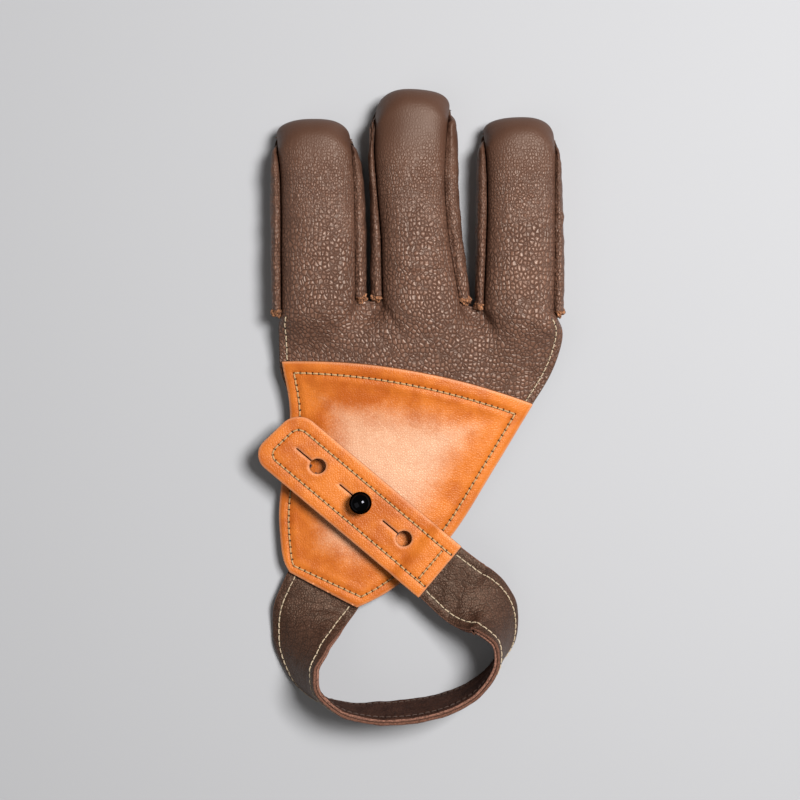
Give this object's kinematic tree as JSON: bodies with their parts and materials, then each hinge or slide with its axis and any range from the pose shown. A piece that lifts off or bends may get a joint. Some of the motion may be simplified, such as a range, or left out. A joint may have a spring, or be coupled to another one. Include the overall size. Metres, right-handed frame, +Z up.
{
  "type": "archery glove",
  "caption": "Leather archery glove lying back up: open finger stalls joined by a web, a smooth back patch, and a wrist strap buttoned with a keyhole tab on a ball stud.",
  "frame": {"origin": "on the surface it lies on, under the middle of the glove's outline", "axes": "+Z up out of the back of the hand, +Y towards the finger tips, +X towards the ring finger"},
  "size_m": [0.1022, 0.2096, 0.0225],
  "materials": {
    "dark_leather": "pebbled full grain, semi-matt",
    "tan_leather": "smooth vegetable-tanned, satin",
    "suede": "flesh side, napped, matt",
    "black_metal": "black, glossy"
  },
  "bodies": {
    "root": {"hand_back": "dark_leather", "index_stall": "dark_leather", "middle_stall": "dark_leather", "ring_stall": "dark_leather", "back_patch": "tan_leather", "wrist_strap": "dark_leather", "strap_lining": "suede", "strap_tab": "tan_leather", "stud": "black_metal"}
  },
  "joints": []
}
